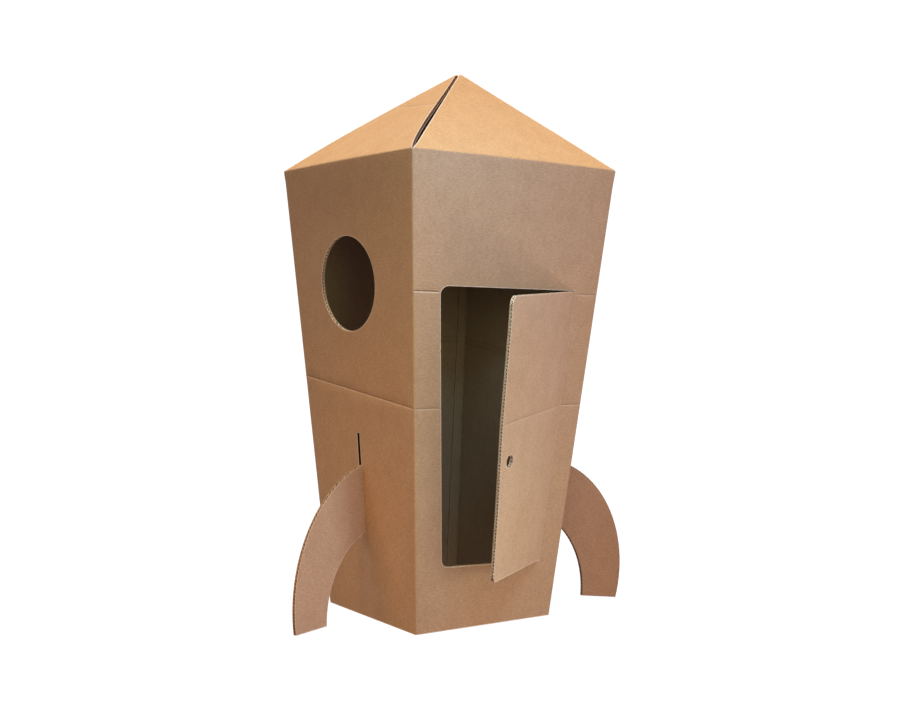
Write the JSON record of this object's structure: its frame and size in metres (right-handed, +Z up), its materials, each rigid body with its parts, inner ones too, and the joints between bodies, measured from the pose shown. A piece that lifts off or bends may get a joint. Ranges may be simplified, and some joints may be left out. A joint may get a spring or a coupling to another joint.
{
  "type": "cardboard rocket playhouse",
  "caption": "Rocket playhouse of folded double-wall cardboard: a square tower that widens upward to a pyramid roof, with a door flap, a round window and fins hung in slots.",
  "frame": {"origin": "on the floor, at the middle of the square tower", "axes": "+Z up; the wall with the door faces -Y and the wall with the round window faces -X"},
  "size_m": [0.8941, 0.8996, 1.2822],
  "materials": {
    "tower_board": "matte kraft liner",
    "door_board": "matte kraft liner",
    "fin_board": "matte kraft liner"
  },
  "bodies": {
    "tower": {"body_shell": "tower_board", "left_fin": "fin_board", "right_fin": "fin_board", "rear_fin": "fin_board"},
    "door": {"door": "door_board"}
  },
  "joints": [
    {"name": "door_crease", "type": "hinge", "parent": "tower", "child": "door", "pos_m": [0.14544, -0.20228, 0.13645], "axis": [0.0718, -0.0894, 0.9934], "range_deg": [-30, 140]}
  ]
}
